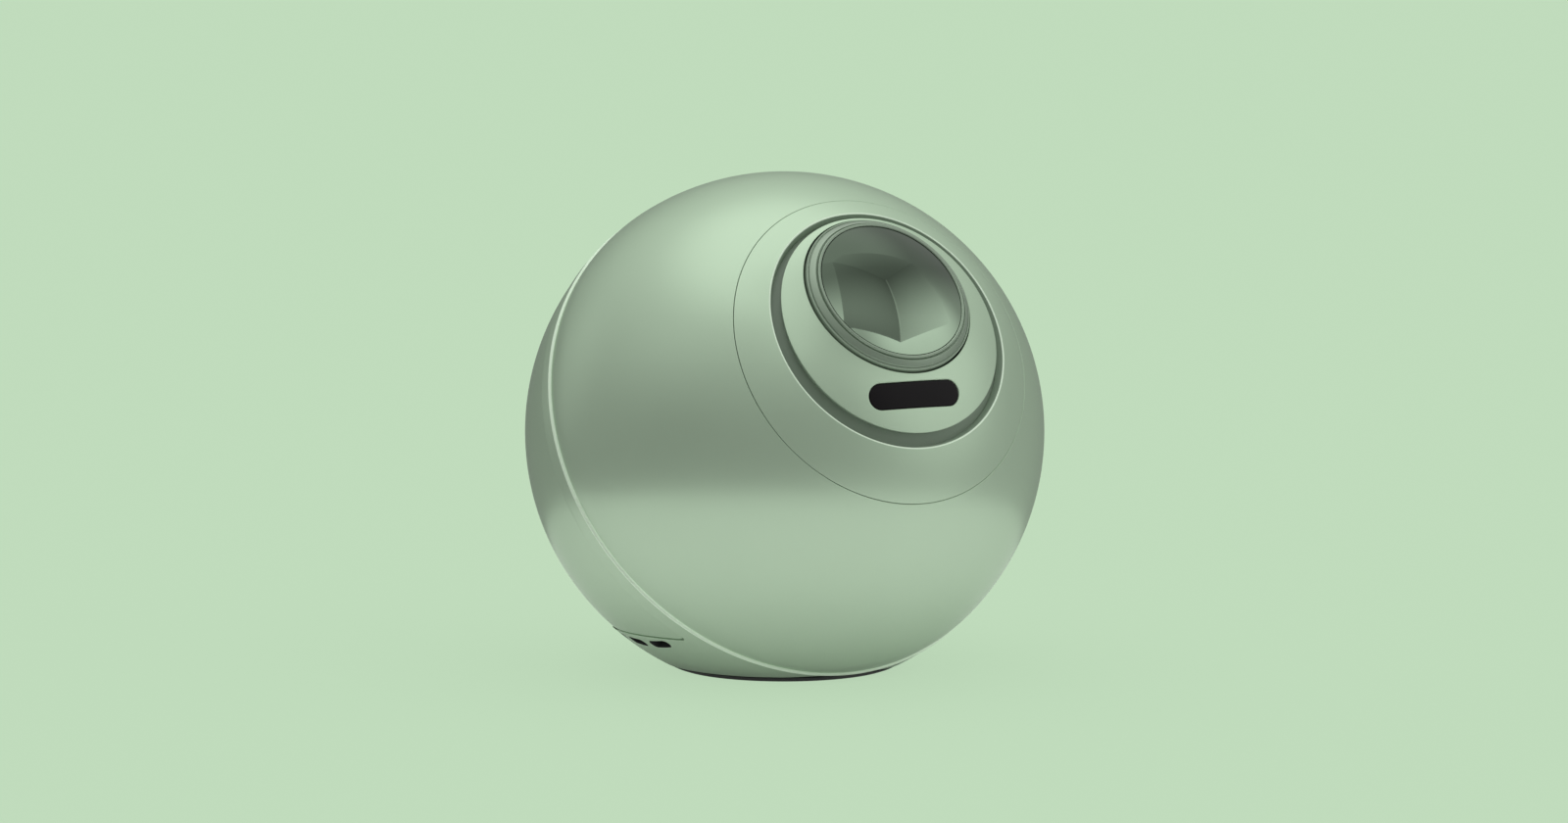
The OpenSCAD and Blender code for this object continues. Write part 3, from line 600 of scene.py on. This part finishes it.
cover_low = math.sin(COVER_LOW_TILT)
cover_up = np.array((0, math.sin(COVER_LOW_LEAN), math.cos(COVER_LOW_LEAN)))
floor_level = height(FOOT_TOP + 0.05 * MM)
paints = [paint, groove_wall_shade, black, painted_highlight_edge]
GROOVE_WALL_SHADE, PORT_SHADE_BLACK, PAINTED_HIGHLIGHT = 1, 2, 3    # their places in the list: painted shade on walls in the groove, black painted shade in the port holes, and a painted highlight on lips

SEAM_PLAY = 0.01 * MM
LIP_RISE, LIP_START, LIP_END, LIP_REACH = 0.7 * MM, 0.25 * MM, 0.68 * MM, 9 * MM
BAND_DROP = 0.3 * MM


def from_seam(directions):
    """Distance over the ball in front of the seam, negative behind it."""
    return np.arcsin(directions @ BODY[:, 2]) * BALL_R


def ease(t):
    t = np.clip(t, 0, 1)
    return t * t * (3 - 2 * t)


def seam_lip(directions):
    """The front shell ends in a fine lip that faces the front, with a long hollow before it."""
    s = from_seam(directions)
    risen = ease((s - LIP_START) / (LIP_END - LIP_START))
    return LIP_RISE * risen * (1 - np.clip(s / LIP_REACH, 0, 1)) ** 2


def band_lean(directions):
    """The rear band leans forward: it is lowest beside the seam."""
    return BAND_DROP * (1 - np.clip(-from_seam(directions) / BAND_WIDTH, 0, 1))


lip_rows = [s * MM for s in (0.25, 0.3, 0.36, 0.42, 0.48, 0.54, 0.6, 0.68, 0.9, 1.2, 1.6, 2.1, 2.8,
                             3.6, 4.6)]
# the front shell's lip rows along the seam carry the painted highlight
plate("front_shell_skin",
      [edge(circle(BODY, math.pi / 2 - SEAM_PLAY / BALL_R, 480), 0.06 * MM, lip_material=PAINTED_HIGHLIGHT,
            across=lip_rows),
       edge(circle(BODY, RING_ANGLE, 384)[::-1], 0.12 * MM)],
      BALL_R, SHELL_WALL, BODY[:, 2], 2.2 * MM, paints, seam_lip, slot="shell", replaces=["front_shell"])

# the rim's wall carries painted shade and its rounded lip the painted highlight
plate("trim_ring_skin",
      [edge(circle(BODY, RING_ANGLE - GAP / BALL_R, 384), 0.12 * MM),
       edge(circle(RIM, RIM_ANGLE, 384)[::-1], 0.4 * MM, wall_material=GROOVE_WALL_SHADE,
            lip_material=PAINTED_HIGHLIGHT)],
      BALL_R, SHELL_WALL, BODY[:, 2], 1.5 * MM, paints, slot="shell", replaces=["trim_ring"])

# the face plate's outer edge and its hole for the bezel have walls of painted shade
plate("face_plate_skin",
      [edge(circle(FACE, FACE_ANGLE, 320), 0.15 * MM, wall_material=GROOVE_WALL_SHADE),
       hole(LENS, disc(BEZEL_R + BEZEL_GAP, steps=256), BALL_R, 0.15 * MM, GROOVE_WALL_SHADE),
       hole(WINDOW, pill(WINDOW_W + 2 * GAP, WINDOW_H + 2 * GAP), BALL_R, 0.3 * MM)],
      BALL_R, SHELL_WALL, FACE[:, 2], 1.2 * MM, paints, slot="shell", replaces=["face_plate"])

plate("light_guide",
      [edge(circle(BODY, RING_ANGLE - rad(2.2), 256), 0.1 * MM),
       edge(circle(FACE, FACE_ANGLE - rad(2.3), 256)[::-1], 0.1 * MM)],
      GROOVE_R, GUIDE_WALL, BODY[:, 2], 1.8 * MM, [groove_plastic], slot="diffuser",
      replaces=["light_ring"])

plate("sensor_glass",
      [edge(flat_outline(WINDOW, pill(WINDOW_W, WINDOW_H), BALL_R), 0.2 * MM, -WINDOW[:, 2])],
      BALL_R - WINDOW_SINK, WINDOW_WALL, WINDOW[:, 2], 1.0 * MM, [acrylic], slot="window",
      replaces=["sensor_window"])

cover_loop = two_caps(behind, (BAND_WIDTH + GAP) / BALL_R, cover_up, cover_low, soften=8)
cover_seat = two_caps(behind, BAND_WIDTH / BALL_R, cover_up, cover_low - 0.2 * MM / BALL_R, soften=8)
port_shapes = [pill(PORT_W, PORT_H, centre=(i * PORT_PITCH, 0)) for i in (-1, 0, 1)]
# the port holes' walls are black, painted shade for the dark inside of the openings
plate("rear_shell_skin",
      [edge(two_caps(behind, SEAM_PLAY / BALL_R, above, floor_level), 0.08 * MM),
       edge(cover_seat[::-1], 0.2 * MM),
       *(hole(PORTS, shape, BAND_R, 0.2 * MM, PORT_SHADE_BLACK) for shape in port_shapes)],
      BAND_R, BAND_WALL, unit(np.array((0, 0.3, -1.0))), 1.5 * MM, paints, band_lean, slot="shell",
      replaces=["rear_shell"])


def vents(radius, grow):
    slot_shape = pill(VENT_LENGTH + grow, VENT_WIDTH + grow, 8, upright=True)
    turns = [side * turn for side in (-1, 1) for turn in VENT_TURNS]
    return [hole(look(0, turn), slot_shape, radius, 0.3 * MM) for turn in turns]


def button_discs(radius, r):
    return [hole(BUTTONS, disc(r, (i * BUTTON_SPACING, 0)), radius, 0.2 * MM) for i in (-1, 0, 1)]


mic_shapes = [disc(MIC_HOLE_R, (side * BUTTON_SPACING / 2, 0), 24) for side in (-1, 1)]
plate("rear_cover_skin",
      [edge(cover_loop, 0.45 * MM),
       hole(BACK, disc(GRILLE_R + GAP, steps=192), COVER_R, 0.25 * MM), *vents(COVER_R, 0),
       *button_discs(COVER_R, BUTTON_R + 0.2 * MM),
       *(hole(BUTTONS, shape, COVER_R, 0.1 * MM) for shape in mic_shapes)],
      COVER_R, COVER_WALL, behind, 1.8 * MM, [paint], slot="shell", replaces=["rear_cover"])
LINER_EDGE = 2 * MM / BALL_R
plate("rear_shell_liner",
      [edge(two_caps(behind, LINER_EDGE, cover_up, cover_low - LINER_EDGE, soften=4), 0.1 * MM),
       hole(BACK, disc(SPEAKER_OPENING_R, steps=128), UNDER_R, 0.2 * MM), *vents(UNDER_R, 0.6 * MM),
       *button_discs(UNDER_R, BUTTON_STEM_R)],
      UNDER_R, UNDER_WALL, behind, 2.4 * MM, [groove_plastic], slot="shell", replaces=["rear_shell"])

# ---------------------------------------------------------------- grille and buttons

grille_holes = []
for j in range(-8, 9):
    for i in range(-8, 9):
        spot = ((i + j / 2) * GRILLE_PITCH, j * GRILLE_PITCH * math.sin(math.pi / 3))
        if math.hypot(*spot) < GRILLE_R - GRILLE_BORDER:
            grille_holes.append(hole(BACK, disc(GRILLE_HOLE_R, spot, 20), COVER_R, 0.22 * MM))
plate("speaker_grille_skin",
      [edge(flat_outline(BACK, disc(GRILLE_R, steps=192), COVER_R), 0.3 * MM, -BACK[:, 2]),
       *grille_holes],
      COVER_R, COVER_WALL, BACK[:, 2], 1.5 * MM, [grille_plastic], slot="grille",
      replaces=["speaker_grille"])


def mark(name, body, x, shape, centre=(0, 0)):
    """A low raised sign on a button."""
    outline = flat_outline(BUTTONS, shape + np.array((x, 0)) + centre, BALL_R)
    plate(name, [edge(outline, 0.1 * MM, -BUTTONS[:, 2])], BALL_R + 0.06 * MM, 0.3 * MM, BUTTONS[:, 2],
          0.4 * MM, [grille_plastic], body=body, slot="button")


for node, place in (("power_button", 0), ("volume_up_button", 1), ("volume_down_button", -1)):
    x = place * BUTTON_SPACING
    outline = flat_outline(BUTTONS, disc(BUTTON_R, (x, 0)), BALL_R)
    plate(node + "_cap", [edge(outline, 0.45 * MM, -BUTTONS[:, 2])],
          BALL_R - BUTTON_SINK, BUTTON_WALL, BUTTONS[:, 2], 0.8 * MM, [paint], body=node,
          slot="button", replaces=[node])
    if place:
        mark(node + "_bar", node, x, pill(3 * MM, 0.6 * MM, 8))
mark("power_dot", "power_button", 0.0, disc(0.8 * MM, steps=32))
for side in (-1, 1):
    mark(f"plus_arm_{side + 1}", "volume_up_button", BUTTON_SPACING,
         pill(1.1 * MM, 0.6 * MM, 8, upright=True), (0, side * 0.95 * MM))

# ---------------------------------------------------------------- speaker surround

# the half roll stays with the basket and its lip with the cone, so that the cone is free to travel
SEAT, ROLL_R, ROLL_OUT, ROLL_IN = 61.95 * MM, 23.6 * MM, 1.3 * MM, 0.9 * MM
FLANGE_R, FLANGE_TOP = 26.4 * MM, SEAT + 0.4 * MM
LIP_IN_R, LIP_OUT_R, LIP_ROUND = 20.9 * MM, 22.2 * MM, 0.15 * MM
ROLL_END = 0.31            # radians up the roll to where its outside meets the flange


def roll_arc(r, start, end, steps):
    return [(ROLL_R + r * math.cos(a), SEAT + r * math.sin(a)) for a in np.linspace(start, end, steps)]


roll = roll_arc(ROLL_OUT, math.pi, ROLL_END, 24)
roll += [(FLANGE_R, FLANGE_TOP), (FLANGE_R, SEAT)]
roll += roll_arc(ROLL_IN, 0, math.pi, 20)
piece("surround_roll", *lathe(BACK, roll, 128), [rubber], slot="rubber", replaces=["speaker_surround"])
lip = rounded([(LIP_IN_R, SEAT, 0), (LIP_OUT_R, SEAT, 0), (LIP_OUT_R, FLANGE_TOP, LIP_ROUND),
               (LIP_IN_R, FLANGE_TOP, LIP_ROUND)])
piece("surround_lip", *lathe(BACK, lip, 128), [rubber], body="speaker_cone", slot="rubber")

# ---------------------------------------------------------------- lens

bezel_profile = rounded([
    (BEZEL_BORE_R, BEZEL_LOW, 0),
    (BEZEL_R, BEZEL_LOW, 0),
    (BEZEL_R, BEZEL_RIM, 0.14 * MM),
    (BEZEL_R - 0.42 * MM, BEZEL_RIM, 0.06 * MM),
    (BEZEL_R - 0.46 * MM, BEZEL_RIM - 0.2 * MM, 0.02 * MM),
    (BEZEL_R - 0.66 * MM, BEZEL_RIM - 0.1 * MM, 0.02 * MM),
    (BEZEL_R - 0.75 * MM, BEZEL_RIM + 0.4 * MM, 0.25 * MM),
    (BEZEL_LIP_R + 1.35 * MM, BEZEL_TOP - 0.5 * MM, 0.3 * MM),
    (BEZEL_LIP_R + 1.25 * MM, BEZEL_TOP - 1 * MM, 0.04 * MM),
    (BEZEL_LIP_R + 1.0 * MM, BEZEL_TOP - 1 * MM, 0.04 * MM),
    (BEZEL_LIP_R + 0.85 * MM, BEZEL_TOP, 0.3 * MM),
    (BEZEL_LIP_R, BEZEL_TOP, 0.45 * MM),
    (BEZEL_LIP_R, BEZEL_STEP, 0),
    (BEZEL_BORE_R, BEZEL_STEP, 0),
])
piece("bezel_ring", *lathe(LENS, bezel_profile), [bezel_paint], slot="bezel", replaces=["lens_bezel"],
      sharp=60)


def dome(edge_height, rise, edge_r, reaches):
    """Points of a round dome that rises from its edge to its middle, at those distances from the axis."""
    ball = (edge_r**2 + rise**2) / (2 * rise)
    return [(r, edge_height + math.sqrt(ball**2 - r**2) - (ball - rise)) for r in reaches]


lens_profile = dome(LENS_EDGE, LENS_APEX - LENS_EDGE, LENS_R, np.linspace(0, LENS_R, 48))
lens_profile += [(LENS_R, LENS_BACK), (HOLLOW_R, LENS_BACK)]
lens_profile += dome(LENS_HOLLOW - HOLLOW_DROP, HOLLOW_DROP, HOLLOW_R,
                     np.linspace(HOLLOW_R - 0.1 * MM, 0, 24))
piece("front_lens_glass", *lathe(LENS, lens_profile), [glass], body="focus_group", slot="lens_glass",
      replaces=["front_lens"], sharp=40)

# ---------------------------------------------------------------- foot

foot_profile = rounded([
    (FOOT_IN_R, 0, 0.3 * MM), (30.7 * MM, 0, 0.4 * MM), (32.2 * MM, 0.5 * MM, 0.5 * MM),
    (34.4 * MM, 1.6 * MM, 0.1 * MM), (FOOT_IN_R, 1.6 * MM, 0)])
piece("foot_ring_skin", *lathe(np.eye(3), foot_profile, origin=np.zeros(3)), [rubber], slot="rubber",
      replaces=["foot_ring"], sharp=50)

# ---------------------------------------------------------------- camera

CAMERA_AZIMUTH, CAMERA_ELEVATION = rad(-31.2), rad(6.5)
CAMERA_DISTANCE, CAMERA_LENS = 20 * BALL_R, 119.4
AIM_RISE = 5.8 * MM
ahead = np.array((math.sin(CAMERA_AZIMUTH), -math.cos(CAMERA_AZIMUTH), 0))
rightward = np.array((math.cos(CAMERA_AZIMUTH), math.sin(CAMERA_AZIMUTH), 0))


def toward(azimuth, elevation):
    """A direction: degrees round to the camera's right from the camera itself, and degrees up."""
    a, e = rad(azimuth), rad(elevation)
    return math.cos(e) * (math.cos(a) * ahead + math.sin(a) * rightward) + math.sin(e) * above


camera_data = bpy.data.cameras.new("camera")
camera_data.lens = CAMERA_LENS
camera_data.clip_end = 100
camera = bpy.data.objects.new("camera", camera_data)
bpy.context.scene.collection.objects.link(camera)
aim = Vector(CENTRE) + Vector((0, 0, AIM_RISE))
camera.location = Vector(CENTRE) + Vector(toward(0, math.degrees(CAMERA_ELEVATION))) * CAMERA_DISTANCE
camera.rotation_mode = "QUATERNION"
camera.rotation_quaternion = (aim - camera.location).to_track_quat("-Z", "Y")
bpy.context.scene.camera = camera
bpy.context.scene.view_settings.view_transform = "Standard"

# ---------------------------------------------------------------- stage and light


def stage_sheet(name, points, faces, material, seen_by):
    """A sheet of the stage, seen only by some kinds of ray."""
    mesh = bpy.data.meshes.new(name)
    mesh.from_pydata([tuple(p) for p in points], [], faces)
    mesh.materials.append(material)
    obj = bpy.data.objects.new(name, mesh)
    bpy.context.scene.collection.objects.link(obj)
    obj.visible_camera = "camera" in seen_by
    obj.visible_diffuse = "diffuse" in seen_by
    obj.visible_glossy = "glossy" in seen_by
    obj.visible_transmission = "camera" in seen_by
    obj.visible_shadow = False
    return obj


def pale(name, colour, glow):
    """A matt pale surface that glows a little, so that shadows on it stay soft."""
    mat = bpy.data.materials.new(name)
    mat.use_nodes = True
    shader = mat.node_tree.nodes["Principled BSDF"]
    shader.inputs["Base Color"].default_value = (*colour, 1)
    shader.inputs["Roughness"].default_value = 1.0
    shader.inputs["Specular IOR Level"].default_value = 0.0
    shader.inputs["Emission Color"].default_value = (*glow, 1)
    shader.inputs["Emission Strength"].default_value = 1.0
    return mat


FLOOR_SHARE = 0.88                 # how much of the floor's look is its own glow
FLOOR = (0.533, 0.716, 0.508)
FLOOR_LIGHT = 0.96                 # what the lights alone give a white floor
shade = tuple(c * (1 - FLOOR_SHARE) / FLOOR_LIGHT for c in FLOOR)
square = [(x, y, -0.1 * MM) for x, y in ((-30, -30), (30, -30), (30, 30), (-30, 30))]
floor_material = pale("pale_floor", shade, tuple(c * FLOOR_SHARE for c in FLOOR))
stage_sheet("pale_floor", square, [(0, 1, 2, 3)], floor_material, ("camera",))


def toned(obj, tones, socket, strength=1.0):
    """Gives a sheet's glow a strength that changes from point to point."""
    field = obj.data.attributes.new("tone", "FLOAT", "POINT")
    field.data.foreach_set("value", [t * strength for t in tones])
    tree = obj.data.materials[0].node_tree
    tone = tree.nodes.new("ShaderNodeAttribute")
    tone.attribute_name = "tone"
    tree.links.new(tone.outputs["Fac"], socket)


# a white table top under the object, which lights it from below; dimmer by the foot and behind
TABLE_R, TABLE_FORWARD, TABLE_RINGS, TABLE_SPOKES = 0.21, 0.035, 30, 96
TABLE_GLOW, TABLE_DEPTH = 0.32, 0.5 * MM
FOOT_SHADE, FOOT_SHADE_R, FOOT_SHADE_FADE = 0.45, 0.034, 0.06
REAR_SHADE, REAR_SHADE_FADE = 0.3, 0.2
points, tones, faces = [], [], []
for k in range(TABLE_RINGS + 1):
    reach = TABLE_R * (k + 0.5) / (TABLE_RINGS + 0.5)
    for turn in np.linspace(0, 2 * math.pi, TABLE_SPOKES, endpoint=False):
        spot = reach * np.array((math.cos(turn), math.sin(turn), 0)) + TABLE_FORWARD * ahead
        points.append(spot - TABLE_DEPTH * above)
        front = ease(0.5 + (spot @ ahead) / REAR_SHADE_FADE)
        clear = ease((np.linalg.norm(spot) - FOOT_SHADE_R) / FOOT_SHADE_FADE)
        tones.append((FOOT_SHADE + (1 - FOOT_SHADE) * clear) * (REAR_SHADE + (1 - REAR_SHADE) * front))
    if k:
        a, c = (k - 1) * TABLE_SPOKES, k * TABLE_SPOKES
        for i in range(TABLE_SPOKES):
            j = (i + 1) % TABLE_SPOKES
            faces.append((a + i, a + j, c + j, c + i))
faces.append(tuple(range(TABLE_SPOKES)))
white = pale("white_table", (0.72,) * 3, (1, 1, 1))
table = stage_sheet("white_table", points, faces, white, ("diffuse", "glossy"))
toned(table, tones, white.node_tree.nodes["Principled BSDF"].inputs["Emission Strength"], TABLE_GLOW)


def card(name, corners, distance=1.5, steps=16):
    """A glowing card that only the gloss sees: its corners in order, as seen from the lens.

    Each corner is (azimuth, elevation, strength).
    """
    eye = CENTRE + LENS[:, 2] * LENS_EDGE
    spots = [toward(a, e) for a, e, _ in corners]
    points, tones, faces = [], [], []
    for j in range(steps + 1):
        for i in range(steps + 1):
            u, v = i / steps, j / steps
            shares = ((1 - u) * (1 - v), u * (1 - v), u * v, (1 - u) * v)
            points.append(eye + distance * unit(sum(w * p for w, p in zip(shares, spots))))
            tones.append(sum(w * c[2] for w, c in zip(shares, corners)))
            if i < steps and j < steps:
                a = j * (steps + 1) + i
                faces.append((a, a + 1, a + steps + 2, a + steps + 1))
    mat = bpy.data.materials.new(name)
    mat.use_nodes = True
    nodes = mat.node_tree.nodes
    nodes.remove(nodes["Principled BSDF"])
    emit = nodes.new("ShaderNodeEmission")
    mat.node_tree.links.new(emit.outputs["Emission"], nodes["Material Output"].inputs["Surface"])
    toned(stage_sheet(name, points, faces, mat, ("glossy",)), tones, emit.inputs["Strength"])


# the corner of a room, which the lens mirrors
card("dark_wall", [(61, 84, 1.0), (83, 58, 0.3), (56, 26, 0.26), (18, 40.5, 0.27)])
card("light_wall", [(83, 58, 0.34), (56, 26, 0.62), (103, 23, 0.95), (124, 46, 0.7)])
card("left_wall", [(61, 84, 1.2), (18, 40.5, 0.85), (2, 34, 0.85), (-60, 70, 1.3)])
card("ceiling", [(61, 84, 1.25), (83, 58, 0.34), (124, 46, 0.8), (112, 80, 1.25)])
card("wall_corner", [(83, 58, 0.6), (85, 58, 0.6), (57.2, 26, 0.6), (56, 26, 0.6)], 1.45)

world = bpy.data.worlds.new("studio")
bpy.context.scene.world = world
world.use_nodes = True
wn, wl = world.node_tree.nodes, world.node_tree.links
ray = wn.new("ShaderNodeTexCoord").outputs["Generated"]


def calculate(operation, *values):
    node = wn.new("ShaderNodeMath")
    node.operation = operation
    for socket, value in zip(node.inputs, values):
        if isinstance(value, (int, float)):
            socket.default_value = value
        else:
            wl.new(value, socket)
    return node.outputs[0]


def along(direction):
    node = wn.new("ShaderNodeVectorMath")
    node.operation = "DOT_PRODUCT"
    wl.new(ray, node.inputs[0])
    node.inputs[1].default_value = tuple(direction)
    return node.outputs["Value"]


def softly(value, low, high, strength):
    """Nothing below low, strength above high, and smooth between."""
    node = wn.new("ShaderNodeMapRange")
    node.interpolation_type = "SMOOTHSTEP"
    node.inputs["From Min"].default_value = low
    node.inputs["From Max"].default_value = high
    node.inputs["To Max"].default_value = strength
    wl.new(value, node.inputs["Value"])
    return node.outputs["Result"]


# lamps: azimuth, elevation, degrees out to where the light starts and where it is full, and strength
LAMPS = [(0, 94, 44, 20, 0.6), (74, 22, 42, 10, 0.62), (-100, 45, 60, 20, 0.12), (-116, 12, 20, 5, 0.2)]
BASE_LIGHT = 0.2

up_share = along(above)
rear_glow = softly(along(-ahead), 0.1, 0.8, 0.12)
glows = [
    softly(up_share, 0.05, 0.95, 0.55),
    softly(along(rightward), 0.1, 0.9, 0.1),
    calculate("MULTIPLY", rear_glow, softly(up_share, 0.1, 0.45, 1.0)),
]
for azimuth, elevation, start, full, strength in LAMPS:
    closeness = along(toward(azimuth, elevation))
    glows.append(softly(closeness, math.cos(rad(start)), math.cos(rad(full)), strength))
total = BASE_LIGHT
for glow in glows:
    total = calculate("ADD", total, glow)
wl.new(total, wn["Background"].inputs["Strength"])
wn["Background"].inputs["Color"].default_value = (1, 1, 1, 1)
